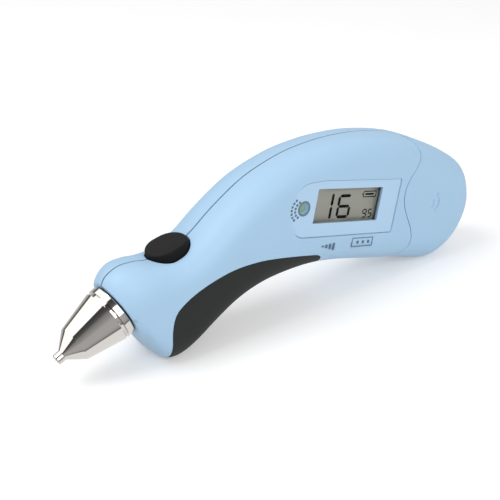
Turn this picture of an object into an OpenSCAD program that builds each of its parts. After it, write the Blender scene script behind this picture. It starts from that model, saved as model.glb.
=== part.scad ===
// Handheld applanation tonometer: a curved pen in two moulded halves with a steel nose,
// standing on its belly and its tail. X runs from the tip to the tail, Z is up, and the
// display faces -Y. The origin is on the ground, under the middle of the overall length.

/* [Body] */
// Length from the nose end of the body to the middle of the glass
grip_len = 79.6; // [72:0.2:95]
// Length of the tail behind the battery pack
tail_room = 15.5; // [14:0.5:24]
// Height that the arch of the back adds to the two cells and the walls
arch_room = 17.6; // [15:0.2:24]
// Room left in the thickness beside a cell and its cradle
side_room = 2; // [1.4:0.1:6]
// Wall of the two body halves and of the battery cover
wall = 2.4; // [2.1:0.1:2.8]
// Depth of the rounded edge, seen from the side
edge_depth = 11.6; // [9:0.2:13]
// Depth that is planed off the belly and the tail where the pen stands
foot_flat = 0.4; // [0.2:0.05:0.6]
// Thickness of the soft grip
grip_t = 1.3; // [1:0.1:1.4]
// Width and depth of the groove along the parting line, on each half
seam_w = 0.3; // [0.1:0.05:0.4]

/* [Nose] */
// Angle of the nose axis below the horizontal
nose_tilt = 25; // [22:1:28]
// Radius of the steel collar
collar_r = 8.2; // [7.8:0.1:8.6]
// Width of the steel collar
collar_w = 2.1; // [1.6:0.1:3]
// Thickness of the seal between collar and body
seal_t = 0.5; // [0.3:0.1:0.8]
// Width of the groove that holds the rim of a tip cover
groove_w = 0.8; // [0.5:0.1:1.4]
// Depth of that groove
groove_d = 0.9; // [0.5:0.1:1.4]
// Length of the long cone
cone_len = 11.6; // [10:0.2:14]
// Radius where the long cone meets the short one
waist_r = 5.4; // [5:0.1:6]
// Length of the short cone
point_len = 4.5; // [4:0.1:6]
// Radius of the foot plate at the tip
tip_r = 1.6; // [1.4:0.05:2]
// Length of the foot plate
tip_len = 2.1; // [1.4:0.1:2.6]
// Radius of the threaded spigot that holds the nose in the body
spigot_r = 4.8; // [4.6:0.1:5]
// Radius of the transducer inside the nose
transducer_r = 3.8; // [3.4:0.1:3.9]
// Radius of the plunger in the foot plate
plunger_r = 0.5; // [0.4:0.05:0.6]
// Travel of the plunger
plunger_travel = 0.1; // [0.05:0.05:0.2]

/* [Button] */
// Length of the operator button
button_len = 13; // [12:0.5:16]
// Width of the operator button
button_w = 11; // [9:0.5:12]
// Height of the button above the back of the body
button_rise = 2.4; // [1.8:0.1:4]
// Travel of the button
button_travel = 0.8; // [0.4:0.1:1]
// Gap round the button
button_gap = 0.4; // [0.25:0.05:0.6]
// Radius of the switch plunger under the button
switch_pin_r = 1.7; // [1.2:0.1:2.2]

/* [Display] */
// Slope of the display, down towards the tail
display_tilt = 13.5; // [10:0.5:17]
// Length of the display panel past the window, on the tail side
window_side = 7.45; // [6.5:0.05:7.6]
// Length of the display panel past the middle of the lamp, on the nose side
lamp_side = 5.35; // [5.1:0.05:5.8]
// Height of the display panel above the middle of the glass
panel_up = 7.8; // [7:0.1:8.4]
// Height of the display panel below it
panel_down = 9.5; // [8:0.1:10]
// Depth of the recess for the panel
panel_depth = 1.2; // [1:0.1:1.4]
// Thickness of the panel
panel_t = 0.8; // [0.6:0.1:0.9]
// Width of the window
window_w = 26.9; // [24:0.1:27.5]
// Height of the window
window_h = 10.7; // [9:0.1:11]
// Radius of the lamp's light pipe
lamp_r = 1.3; // [1:0.1:1.5]

/* [Battery] */
// Thickness of the cradle that holds the pack
cradle_t = 1.1; // [0.9:0.1:1.4]
// Slope of the battery pack and of the way its cover comes off
cover_tilt = 16; // [15:0.5:18]
// Diameter of a battery cell
cell_d = 14; // [13:0.1:14.5]
// Length of a battery cell
cell_len = 25; // [23:0.1:26]
// Length of the cradle's tongue inside the battery cover
tongue_len = 4; // [3:0.2:5]

/* [Hidden] */
$fn = 48;

// Overrun of cuts past the faces that they open
over = 1;
// Gap between a fixed piece and its seat
fit = 0.1;
// Gap round a piece that slides
slide_fit = 0.05;
// Window, glass and its frame
lens_edge = 0.6;
lens_w = window_w + 2 * lens_edge;
lens_h = window_h + 2 * lens_edge;
glass_edge = 0.8;
glass_w = lens_w + 2 * glass_edge;
glass_ends = 1.5;
glass_h = lens_h + 2 * glass_ends;
frame_wall = 1.1;
frame_w = glass_w + 2 * frame_wall;
frame_h = glass_h + 2 * frame_wall;
// Lamp beside the frame, and the panel round both
lamp_flange = 0.4;
lamp_gap = 0.3;
lamp_at = [-frame_w / 2 - lamp_gap - lamp_r - lamp_flange, -0.5];
panel_left = lamp_side - lamp_at[0];
panel_right = window_w / 2 + window_side;
// Gap round the panel
panel_gap = 0.2;
// Main board, measured from the middle of the glass
board_past_lamp = 6.05;
board_past_frame = 0.55;
board_left = board_past_lamp - lamp_at[0];
board_right = frame_w / 2 + board_past_frame;
board_up = 7;
board_down = 12.6;
body_thick = cell_d + 2 * (wall + cradle_t) + side_room;
half_thick = body_thick / 2;
inner_half = half_thick - wall;
body_rise = 2 * cell_d + 2 * wall + arch_room;
// From the middle of the glass to the pack, and on to the tail end
pack_gap = 2.3;
pack_ahead = board_right + pack_gap;
tail_len = pack_ahead + cell_len * cos(cover_tilt) + tail_room;
body_len = grip_len + tail_len;

// Side outline and sections, from the nose to the tail: shares of the length and of the
// height for the back and for the underside, then the share of the half thickness and the
// power of the rounded edge, where 2 is an ellipse and more is squarer. The glass is at the
// share glass_share of the length.
glass_share = 0.571;
outline_shares = [
  [-0.0065, 0.494, 0.043, 0.209, 0.67, 2.0],
  [-0.0043, 0.535, 0.0531, 0.181, 0.79, 2.0],
  [0.0079, 0.579, 0.0667, 0.134, 0.88, 2.1],
  [0.0352, 0.61, 0.0818, 0.069, 0.93, 2.4],
  [0.0696, 0.608, 0.0983, 0.018, 0.97, 2.6],
  [0.099, 0.593, 0.1155, 0.0, 0.98, 2.8],
  [0.1385, 0.594, 0.1413, 0.008, 0.99, 2.8],
  [0.1743, 0.622, 0.1779, 0.055, 1.0, 2.8],
  [0.2109, 0.675, 0.2245, 0.131, 1.0, 2.8],
  [0.2669, 0.783, 0.2826, 0.212, 1.0, 2.8],
  [0.3472, 0.904, 0.3501, 0.262, 1.0, 2.8],
  [0.439, 0.976, 0.4254, 0.274, 1.0, 2.8],
  [0.5115, 0.998, 0.4986, 0.262, 1.0, 2.8],
  [0.5819, 0.998, 0.5797, 0.215, 1.0, 2.8],
  [0.6708, 0.972, 0.6584, 0.154, 1.0, 2.8],
  [0.7786, 0.898, 0.7364, 0.098, 1.0, 2.8],
  [0.8762, 0.776, 0.7982, 0.043, 1.0, 2.8],
  [0.9329, 0.687, 0.8493, 0.004, 1.0, 2.7],
  [0.9664, 0.62, 0.8907, 0.016, 0.98, 2.6],
  [0.9847, 0.551, 0.9286, 0.058, 0.92, 2.4],
  [0.9942, 0.48, 0.9592, 0.132, 0.8, 2.2],
  [0.9985, 0.413, 0.9796, 0.207, 0.61, 2.0],
  [1, 0.358, 0.9935, 0.291, 0.3, 2.0]
];

last_station = len(outline_shares) - 1;

// Middles of the nose face, the button, the glass and the battery pack's front end
nose_shares = [0.024, 0.364];
button_shares = [0.153, 0.604];
display_shares = [glass_share, 0.626];
pack_share = 0.492;
// Screws that join the two halves
screw_shares = [[0.26, 0.587], [0.6339, 0.862], [0.54, 0.335], [0.146, 0.173]];
// Front edge of the battery cover, seen from the side
cover_edge_shares = [
  [0.773, 1.079], [0.7801, 0.941], [0.7832, 0.894], [0.7974, 0.852], [0.8015, 0.793],
  [0.7862, 0.732], [0.7619, 0.667], [0.7466, 0.598], [0.7426, 0.52], [0.7507, 0.433],
  [0.7659, 0.331], [0.771, 0.25], [0.7639, 0.193], [0.7517, 0.169], [0.7405, 0.114],
  [0.7344, 0.035], [0.7324, -0.063]
];
// Edge of the soft grip, seen from the side
grip_edge_shares = [
  [0.105, -0.063], [0.104, 0.035], [0.103, 0.122], [0.103, 0.224], [0.113, 0.321],
  [0.136, 0.376], [0.171, 0.421], [0.213, 0.453], [0.257, 0.472], [0.301, 0.472],
  [0.346, 0.459], [0.408, 0.423], [0.462, 0.384], [0.487, 0.362], [0.499, 0.335],
  [0.501, 0.291], [0.501, 0.213], [0.501, 0.114]
];
// Middle lines of the two flexes, between their ends
sensor_way_shares = [
  [0.095, 0.360], [0.124, 0.281], [0.174, 0.262], [0.239, 0.331], [0.318, 0.478], [0.368, 0.600]
];
switch_way_shares = [[0.2245, 0.395], [0.260, 0.449], [0.318, 0.587], [0.375, 0.700]];

nose_end = seal_t + collar_w + groove_w + cone_len + point_len + tip_len;
cone_from = seal_t + collar_w + groove_w;
nose_in = grip_len * nose_shares[0] / glass_share;
overall_len = body_len - nose_in + nose_end * cos(nose_tilt) + tip_r * sin(nose_tilt);
tail_x = overall_len / 2;
glass_x = tail_x - tail_len;
front_x = glass_x - grip_len;

function side_x(share) = share < glass_share ?
  glass_x - (glass_share - share) / glass_share * grip_len :
  glass_x + (share - glass_share) / (1 - glass_share) * tail_len;
function side_z(share) = share * (body_rise + foot_flat) - foot_flat;
function side_point(share) = [side_x(share[0]), side_z(share[1])];
function blend4(p, t) =
  0.5 * (2 * p[1] + (p[2] - p[0]) * t + (2 * p[0] - 5 * p[1] + 4 * p[2] - p[3]) * t * t
    + (3 * p[1] - p[0] - 3 * p[2] + p[3]) * t * t * t);
function pick(list, k) = list[max(0, min(len(list) - 1, k))];
function along(list, s) =
  let (k = min(floor(s), len(list) - 2))
  blend4([for (j = [-1:2]) pick(list, k + j)], s - k);
// A smooth line through a list of points or of shares, with steps between two of them
function curve(points, steps) =
  [for (k = [0:(len(points) - 1) * steps]) along(points, k / steps)];
function smooth_line(list, steps) = curve([for (s = list) side_point(s)], steps);
// Points on the parting plane, in X and Z, from the local frames below
function nose_point(z) =
  side_point(nose_shares) - z * [cos(nose_tilt), sin(nose_tilt)];
function button_point(x, z) = side_point(button_shares)
  + x * [cos(button_tilt), sin(button_tilt)] + z * [-sin(button_tilt), cos(button_tilt)];
function display_point(x, y) = side_point(display_shares)
  + x * [cos(display_tilt), -sin(display_tilt)] + y * [sin(display_tilt), cos(display_tilt)];

// One section of the body on its +Y side, from the back to the underside. depth is how
// far it lies under the outer surface.
top_steps = 8;
low_steps = 7;
function section(s, depth) =
  let (
    row = along(outline_shares, s),
    back = side_point([row[0], row[1]]),
    base = side_point([row[2], row[3]]),
    span = norm(base - back),
    dir = (base - back) / span,
    high = max(span / 2 - depth, depth / 2),
    drop = span / 2 - high,
    reach = min(edge_depth - depth / 2, high),
    deep = max(half_thick * row[4] - depth, depth / 4),
    power = 2 / row[5]
  )
  concat(
    [for (k = [0:top_steps])
      let (
        a = 90 * k / top_steps,
        p = back + dir * (drop + reach * (1 - pow(max(cos(a), 0), power)))
      )
      [p[0], deep * pow(sin(a), power), p[1]]],
    [for (k = [0:low_steps])
      let (
        a = 90 * (1 - k / low_steps),
        p = base - dir * (drop + reach * (1 - pow(max(cos(a), 0), power)))
      )
      [p[0], deep * pow(sin(a), power), p[1]]]
  );

// Faces between closed rings, which are lists of points of the same length
function ring_sides(n, m) =
  [for (i = [0:n - 2], j = [0:m - 1], half = [0, 1])
    let (a = i * m + j, b = i * m + (j + 1) % m)
    half == 0 ? [a, b, b + m] : [a, b + m, a + m]];
module ring_loft(rings) {
  n = len(rings);
  m = len(rings[0]);
  polyhedron(
    points = [for (r = rings) each r],
    faces = concat(
      ring_sides(n, m),
      [[for (j = [m - 1:-1:0]) j]],
      [[for (j = [0:m - 1]) (n - 1) * m + j]]
    ),
    convexity = 6
  );
}
// The same for a wall, where each ring is an outer line and then the inner line backwards
module wall_loft(rings) {
  n = len(rings);
  m = len(rings[0]);
  e = (n - 1) * m;
  polyhedron(
    points = [for (r = rings) each r],
    faces = concat(
      ring_sides(n, m),
      [for (j = [0:m / 2 - 2], half = [0, 1])
        half == 0 ? [j + 1, j, m - 1 - j] : [j + 1, m - 1 - j, m - 2 - j]],
      [for (j = [0:m / 2 - 2], half = [0, 1])
        half == 0 ? [e + j, e + j + 1, e + m - 1 - j] : [e + j + 1, e + m - 2 - j, e + m - 1 - j]]
    ),
    convexity = 6
  );
}
function backwards(list) = [for (k = [len(list) - 1:-1:0]) list[k]];
// A whole closed section, without doubling the points on the parting plane
function whole_section(s, depth) =
  let (side = section(s, depth), m = len(side))
  concat(side, [for (k = [m - 2:-1:1]) [side[k][0], -side[k][1], side[k][2]]]);
module body_solid(s0, s1, steps, depth) {
  ring_loft([for (k = [0:steps]) whole_section(s0 + (s1 - s0) * k / steps, depth)]);
}
// Steps between the stations where the grip lies
grip_step = 0.5;
// Wall of the +Y half, thicker at the nose, where the spigot passes
nose_wall = 2 * wall;
function shell_depth(s) = s < 2.5 ? nose_wall : wall;
// The outer line has a small step at both ends for the parting groove
function grooved(s) =
  let (side = section(s, 0), low = section(s, 2 * seam_w), m = len(side), a = side[0], b = side[m - 1])
  concat([low[0], [a[0], seam_w, a[2]]], [for (k = [1:m - 2]) side[k]],
    [[b[0], seam_w, b[2]], low[m - 1]]);
function ungrooved(s, depth) =
  let (side = section(s, depth), m = len(side))
  concat([side[0], (side[0] + side[1]) / 2], [for (k = [1:m - 2]) side[k]],
    [(side[m - 2] + side[m - 1]) / 2, side[m - 1]]);
module half_wall(stations) {
  wall_loft([for (s = stations) concat(grooved(s), backwards(ungrooved(s, shell_depth(s))))]);
}

// An outline drawn in X and Z, as a slab across the body
module across(thick = 2 * body_thick) {
  rotate([90, 0, 0]) linear_extrude(thick, center = true) children();
}
module cover_region(gap = 0) {
  translate([gap, 0]) polygon(concat(
    smooth_line(cover_edge_shares, 3),
    [[tail_x + body_thick, -body_thick], [tail_x + body_thick, body_rise + body_thick]]
  ));
}
// The grip's edge, moved out from the middle of the grip for its recess
module grip_region(gap = 0) {
  line = smooth_line(grip_edge_shares, 3);
  n = len(line);
  polygon([for (k = [0:n - 1])
    let (d = pick(line, k + 1) - pick(line, k - 1))
    line[k] + gap * [-d[1], d[0]] / norm(d)]);
}
// What stands under the ground plane is planed off
module planed() {
  difference() {
    children();
    translate([-overall_len, -body_thick, -body_rise])
      cube([2 * overall_len, 2 * body_thick, body_rise]);
  }
}
module at_share(share) {
  p = side_point(share);
  translate([p[0], 0, p[1]]) children();
}
// Local frames: Z runs out of the nose, out of the button, out of the display
module at_nose() {
  at_share(nose_shares) rotate([0, -90 - nose_tilt, 0]) children();
}
button_tilt = 11.5;
module at_button() {
  at_share(button_shares) rotate([0, -button_tilt, 0]) children();
}
module at_display() {
  at_share(display_shares) translate([0, -half_thick, 0])
    rotate([0, display_tilt, 0]) rotate([90, 0, 0]) children();
}
// X runs the way the battery cover comes off, from the pack's front end
module at_pack() {
  translate([glass_x + pack_ahead, 0, side_z(pack_share)]) rotate([0, cover_tilt, 0]) children();
}
module plate(x0, x1, y0, y1, z0, z1) {
  translate([x0, y0, z0]) cube([x1 - x0, y1 - y0, z1 - z0]);
}
module long_round(length, width) {
  hull() {
    translate([(length - width) / 2, 0]) circle(width / 2);
    translate([(width - length) / 2, 0]) circle(width / 2);
  }
}
// The same as a solid, made of a block and two cylinders
module long_post(length, width, height) {
  translate([(width - length) / 2, -width / 2, 0]) cube([length - width, width, height]);
  for (side = [-1, 1]) translate([side * (length - width) / 2, 0, 0]) cylinder(height, r = width / 2);
}

// Screws of the case
screw_r = 1;
screw_head_r = 1.9;
screw_head_t = 1.3;
slot_len = 2.2;
slot_w = 0.5;
slot_d = 0.7;
boss_r = 2.6;
screw_gap = 0.03;
head_drop = 1.4;
head_seat = half_thick - grip_t - screw_head_t - head_drop;
screw_in = inner_half - wall;
module at_screws() {
  for (s = screw_shares) at_share(s) rotate([-90, 0, 0]) children();
}

// Button and switch
flange_side = 1.5;
flange_t = 1.2;
seat_depth = wall - button_gap;
button_base = seat_depth + flange_t;
pin_out = 1.2;
pin_in = 1.2;
switch_h = 3.8;
switch_top = button_base + pin_out;
switch_base = switch_top + switch_h;
switch_board_t = 1;
switch_board_edge = 1.5;
switch_board_w = 2 * (inner_half - switch_board_edge);
switch_board_len = 12;
switch_side = 6;
ledge_t = 1.6;

// Display stack, as depths under the outer face
glass_t = 1.8;
glass_drop = 0.5;
strip_w = 1.6;
// Air between window and glass, held by the frame's lip
glass_air = 0.3;
stack_t = 4;
board_top = wall + stack_t;
board_t = 1.6;
board_back = board_top + board_t;
lamp_foot = 1.8;
// Hole of the panel round the lamp, which lies flush with the floor of the recess
lamp_hole_r = lamp_r + 0.4;
led_h = 1.2;
board_screw_r = 0.7;
board_head_t = 0.9;
board_boss_r = 1.6;
board_screw_at = [
  [-board_left + 2.6, -0.6 * board_down], [-0.54 * board_left, -board_down + board_boss_r],
  [0.55 * board_right, -board_down + board_boss_r]
];

module shell_cuts() {
  // Flat face under the nose seal
  at_nose() cylinder(4 * wall, r = half_thick + wall);
  // Way through the nose for the spigot, and the nut's pocket behind it
  at_nose() translate([0, 0, -3 * wall]) cylinder(4 * wall, r = spigot_r + slide_fit);
  at_nose() translate([0, 0, -nut_from - nut_t - fit - over / 2])
    cylinder(nut_t + fit + over / 2, r = nut_pocket_r);
  // Way for the button, and the flat seat of its flange
  at_button() translate([0, 0, -2 * wall])
    long_post(button_len + 2 * button_gap, button_w + 2 * button_gap, 6 * wall);
  at_button() translate([0, 0, -seat_depth - 2 * wall])
    long_post(button_len + 2 * flange_side + 2 * button_gap,
      button_w + 2 * flange_side + 2 * button_gap, 2 * wall);
  // Recess of the grip
  difference() {
    across() grip_region(fit);
    grip_body(0, grip_t + fit);
  }
}
// The body where the grip lies, with more stations at both ends for a cut
module grip_body(more, depth) {
  body_solid(1 - more * grip_step, 13.5 + more * grip_step, 25 + 2 * more, depth);
}
// Stations of the main shells, with a step at the end of the thick nose
shell_stations = [
  for (k = [0:4]) k / 2, 2.49, 2.51,
  for (k = [4:25]) 1 + k * grip_step, 14, 14.5, 15, 15.5, 16, 16.5
];
module shell_half() {
  difference() {
    union() {
      difference() {
        half_wall(shell_stations);
        across() cover_region(0);
      }
      at_screws() cylinder(half_thick - wall / 2 - grip_t, r = boss_r);
      // Ledges that hold the switch board
      at_button() plate(-switch_board_len / 3, switch_board_len / 3,
        switch_board_w / 2 - ledge_t, inner_half + wall / 2,
        -switch_base - switch_board_t - ledge_t, -switch_base - switch_board_t);
    }
    shell_cuts();
  }
}

module front_shell() {
  color("lightblue") planed() difference() {
    union() {
      mirror([0, 1, 0]) shell_half();
      at_display() for (p = board_screw_at)
        translate([p[0], p[1], -board_top]) cylinder(stack_t + wall / 2, r = board_boss_r);
    }
    // Flat pockets behind the panel for the frame and the light pipe
    at_display() plate(-frame_w / 2 - 2 * fit, frame_w / 2 + 2 * fit,
      -frame_h / 2 - glass_drop - 2 * fit, frame_h / 2 - glass_drop + 2 * fit, -board_top, -wall);
    at_display() translate([lamp_at[0], lamp_at[1], -board_top])
      cylinder(stack_t, r = lamp_r + lamp_flange + fit);
    // Recess and openings of the display
    at_display() translate([0, 0, -panel_depth]) linear_extrude(panel_depth + over) panel_shape(panel_gap);
    at_display() plate(-lens_w / 2 - fit, lens_w / 2 + fit, -lens_h / 2 - fit, lens_h / 2 + fit,
      -wall - over, 0);
    at_display() translate([lamp_at[0], lamp_at[1], -wall - over])
      cylinder(wall + 2 * over, r = lamp_r + slide_fit);
    // Sound holes beside the lamp
    at_display() translate([0, 0, -wall - over]) sound_holes(wall + 2 * over);
    at_display() for (p = board_screw_at)
      translate([p[0], p[1], -board_top - over]) cylinder(stack_t + over, r = board_screw_r + screw_gap);
    at_screws() translate([0, 0, -screw_in - over]) cylinder(screw_in + 2 * over, r = screw_r + screw_gap);
  }
}
// Two arcs of sound holes beside the lamp
sound_arc_r = [lamp_r + 1.25, lamp_r + 2.6];
sound_mid = lamp_at - [0.85, 0.3];
sound_step = [24.8, 16.7];
sound_hole_r = 0.28;
module sound_holes(height) {
  for (k = [0, 1], j = [-2.5 - k / 2:2.5 + k / 2]) let (a = 183 + sound_step[k] * j) translate([
    sound_mid[0] + sound_arc_r[k] * cos(a), sound_mid[1] + sound_arc_r[k] * sin(a), 0
  ]) cylinder(height, r = sound_hole_r, $fn = 12);
}

module rear_shell() {
  color("lightblue") planed() difference() {
    shell_half();
    at_screws() translate([0, 0, -over]) cylinder(half_thick + over, r = screw_r + fit);
    at_screws() translate([0, 0, head_seat]) cylinder(half_thick, r = screw_head_r + fit);
  }
}

module battery_cover() {
  color("lightblue") planed() difference() {
    body_solid(13, last_station, 18, 0);
    body_solid(12.7, 20.2, 15, wall);
    difference() {
      across() translate([front_x, -body_thick]) square([2 * body_len, 2 * body_rise]);
      across() cover_region(cover_gap);
    }
  }
}
cover_gap = 0.3;

module grip_pad() {
  color("#202124") planed() intersection() {
    difference() {
      grip_body(0, 0);
      grip_body(1, grip_t);
    }
    across() grip_region(0);
  }
}

// Round nose end of the panel, its two softer corners and its two small ones
module panel_shape(gap) {
  nose_end_r = 7.8;
  upper = 6;
  lower = 5;
  small = 0.6;
  offset(delta = gap) hull() {
    translate([-panel_left + nose_end_r, lamp_at[1]]) circle(nose_end_r);
    translate([-panel_left + 2 * upper, panel_up - upper]) circle(upper);
    translate([-panel_left + 1.4 * lower, -panel_down + lower]) circle(lower);
    translate([panel_right - small, panel_up - small]) circle(small);
    translate([panel_right - small, -panel_down + small]) circle(small);
  }
}
module display_panel() {
  color("lightsteelblue") at_display() translate([0, 0, -panel_depth]) difference() {
    linear_extrude(panel_t) panel_shape(0);
    plate(-window_w / 2, window_w / 2, -window_h / 2, window_h / 2, -over, panel_t + over);
    translate([lamp_at[0], lamp_at[1], -over]) cylinder(panel_t + 2 * over, r = lamp_hole_r);
    translate([0, 0, -over]) sound_holes(panel_t + 2 * over);
  }
}
module display_window() {
  color([0.8, 0.85, 0.85, 0.4]) at_display()
    plate(-lens_w / 2, lens_w / 2, -lens_h / 2, lens_h / 2, -wall, -panel_depth);
}
module lcd_glass() {
  color("darkseagreen") at_display()
    plate(-glass_w / 2, glass_w / 2, -glass_h / 2 - glass_drop, glass_h / 2 - glass_drop,
      -wall - glass_air - glass_t, -wall - glass_air);
}
module lcd_frame() {
  color("#303236") at_display() difference() {
    plate(-frame_w / 2, frame_w / 2, -frame_h / 2 - glass_drop, frame_h / 2 - glass_drop,
      -board_top, -wall);
    plate(-glass_w / 2 - fit, glass_w / 2 + fit,
      -glass_h / 2 - glass_drop - fit, glass_h / 2 - glass_drop + fit,
      -board_top - over, -wall - glass_air);
    plate(-lens_w / 2, lens_w / 2, -lens_h / 2, lens_h / 2, -wall - over, over);
  }
}
module contact_strips() {
  color("#d56a9a") at_display() for (side = [-1, 1])
    translate([0, side * (glass_h / 2 - strip_w) - glass_drop, 0])
      plate(-glass_w / 2 + strip_w, glass_w / 2 - strip_w, -strip_w / 2, strip_w / 2,
        -board_top, -wall - glass_air - glass_t);
}
module light_pipe() {
  color([0.85, 0.95, 0.85, 0.7]) at_display() translate([lamp_at[0], lamp_at[1], 0]) {
    translate([0, 0, -wall - lamp_flange]) cylinder(wall + lamp_flange - panel_depth, r = lamp_r);
    translate([0, 0, -wall - lamp_foot]) cylinder(lamp_foot, r = lamp_r + lamp_flange);
  }
}
module status_led() {
  color("palegreen") at_display() translate([lamp_at[0], lamp_at[1], 0]) union() {
    plate(-led_h, led_h, -led_h, led_h, -board_top, -board_top + led_h);
    translate([0, 0, -board_top + led_h / 2]) cylinder(stack_t - lamp_foot - led_h / 2, r = 0.7 * led_h);
  }
}
module main_board() {
  corner = 5;
  color("darkgreen") at_display() translate([0, 0, -board_back]) difference() {
    linear_extrude(board_t) polygon([
      [-board_left, -board_down], [board_right, -board_down], [board_right, board_up],
      [-board_left + 2 * corner, board_up], [-board_left, board_up - corner]
    ]);
    for (p = board_screw_at)
      translate([p[0], p[1], -over]) cylinder(board_t + 2 * over, r = board_screw_r + fit);
  }
}
module board_chips() {
  color("#222222") at_display() {
    // Processor and amplifier
    plate(-board_left / 3, board_right / 4, -board_down / 2, 0.7 * board_up,
      -board_back - chip_t, -board_back);
    plate(-0.75 * board_left, -0.55 * board_left, -board_up / 7, 0.7 * board_up,
      -board_back - chip_t, -board_back);
    // Small parts beside them
    for (k = [0:3]) translate([-0.7 * board_left, -board_down * (0.62 - k * 0.12), -board_back - chip_t / 2])
      cube([1.4 * chip_t, 0.6 * chip_t, chip_t / 2]);
  }
}
module board_connectors() {
  color("ivory") at_display() {
    for (y = connector_y) translate([connector_x, y - connector_h / 2 + fit, -board_back - connector_h])
      cube([connector_h, connector_h - 2 * fit, connector_h]);
  }
}
connector_h = 3;
chip_t = 1.5;
sounder_r = 4.6;
sounder_h = 3.2;
connector_x = 0.5 - board_left;
connector_y = [-3.6, 0.3];
module board_screws() {
  color("silver") at_display() for (p = board_screw_at) translate([p[0], p[1], 0]) union() {
    translate([0, 0, -board_back - board_head_t]) cylinder(board_head_t, r = 2 * board_screw_r);
    translate([0, 0, -board_back - fit]) cylinder(board_t + stack_t - board_head_t, r = board_screw_r);
  }
}
module sounder() {
  color("#1c1c1e") at_display() translate([0.62 * board_right, -board_down / 12, -board_back - sounder_h])
    difference() {
      cylinder(sounder_h, r = sounder_r);
      translate([0, 0, -over]) cylinder(over + sounder_h / 4, r = sounder_r / 5);
    }
}

module button_cap() {
  crown = 1;
  color("#1b1b1d") at_button() union() {
    translate([0, 0, -button_base]) long_post(button_len + 2 * flange_side,
      button_w + 2 * flange_side, flange_t);
    translate([0, 0, -button_base]) long_post(button_len, button_w,
      button_base + button_rise - crown);
    // Bevelled crown
    for (k = [0:3]) translate([0, 0, button_rise - crown + crown * k / 4 - 0.02])
      long_post(button_len - 2 * crown * (1 - cos(22.5 * (k + 0.5))),
        button_w - 2 * crown * (1 - cos(22.5 * (k + 0.5))), crown / 4 + 0.02);
  }
}
module switch_plunger() {
  color("#c03030") at_button() translate([0, 0, -switch_top - button_travel - pin_in])
    cylinder(pin_out + button_travel + pin_in, r = switch_pin_r);
}
module switch_body() {
  color("#2a2a2c") at_button() translate([0, 0, -switch_base]) difference() {
    plate(-switch_side / 2, switch_side / 2, -switch_side / 2, switch_side / 2, 0, switch_h);
    translate([0, 0, switch_h - 2 * button_travel - pin_in - 2 * fit])
      cylinder(switch_h, r = switch_pin_r + slide_fit);
  }
}
module switch_board() {
  color("darkgreen") at_button() plate(-switch_board_len / 2, switch_board_len / 2,
    -switch_board_w / 2, switch_board_w / 2, -switch_base - switch_board_t, -switch_base);
}

module battery_pack() {
  color("#3f6fb0") at_pack() rotate([0, 90, 0]) long_post(2 * cell_d, cell_d, cell_len);
}
bulkhead_from = 2.2;
// Stations of the body that the cradle runs between
cradle_from = 11.5;
cradle_to = last_station - 4.5;
bulkhead_t = 1.6;
contact_w = 2.4;
module battery_cradle() {
  color("#d9d9d4") difference() {
    body_solid(cradle_from, cradle_to, 12, wall + 2 * fit);
    difference() {
      body_solid(cradle_from - 0.5, cradle_to + 0.5, 14, wall + 2 * fit + cradle_t);
      at_pack() plate(-bulkhead_from, -bulkhead_from + bulkhead_t,
        -body_thick, body_thick, -body_rise, body_rise);
    }
    at_pack() plate(-body_len, -bulkhead_from, -body_thick, body_thick, -body_rise, body_rise);
    across() cover_region(tongue_len);
    at_pack() for (side = [-1, 1]) translate([0, 0, side * cell_d / 2])
      plate(-2 * bulkhead_from, over, -contact_w / 2 - fit, contact_w / 2 + fit,
        -contact_w / 2 - fit, contact_w / 2 + fit);
  }
}
module battery_contacts() {
  color("gold") at_pack() for (side = [-1, 1]) translate([0, 0, side * cell_d / 2]) union() {
    plate(-bulkhead_from - contact_tail, 0, -contact_w / 2, contact_w / 2, -contact_w / 2, contact_w / 2);
    plate(-bulkhead_from - contact_tail, -bulkhead_from - contact_tail / 2,
      board_back - half_thick, contact_w / 2, -contact_w / 2, contact_w / 2);
  }
}
contact_tail = 4.6;

// Nose
nut_from = 3.4;
nut_t = 2.2;
nut_r = 6.4;
nut_pocket_r = 6.9;
spigot_len = nut_from + nut_t + 0.4;
transducer_from = 8;
transducer_to = 8;
transducer_end = 0.8;
cone_r = collar_r - 0.1;
module nose_cone() {
  bevel = 0.3;
  bore_r = transducer_r + slide_fit;
  color("silver") at_nose() rotate_extrude() polygon([
    [bore_r, -spigot_len], [spigot_r, -spigot_len], [spigot_r, seal_t],
    [collar_r - bevel, seal_t], [collar_r, seal_t + bevel],
    [collar_r, seal_t + collar_w - bevel], [collar_r - bevel, seal_t + collar_w],
    [collar_r - groove_d, seal_t + collar_w], [collar_r - groove_d, cone_from],
    [cone_r - bevel, cone_from], [cone_r, cone_from + bevel],
    [waist_r, cone_from + cone_len], [tip_r + fit, nose_end - tip_len],
    [tip_r, nose_end - tip_len], [tip_r, nose_end - fit], [tip_r - fit, nose_end],
    [plunger_r + slide_fit, nose_end], [plunger_r + slide_fit, nose_end - tip_len - bore_end],
    [head_r + slide_fit, nose_end - tip_len - bore_end],
    [head_r + slide_fit, cone_from + cone_len - bore_end], [bore_r, transducer_to + bore_end]
  ]);
}
head_r = 0.9;
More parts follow.
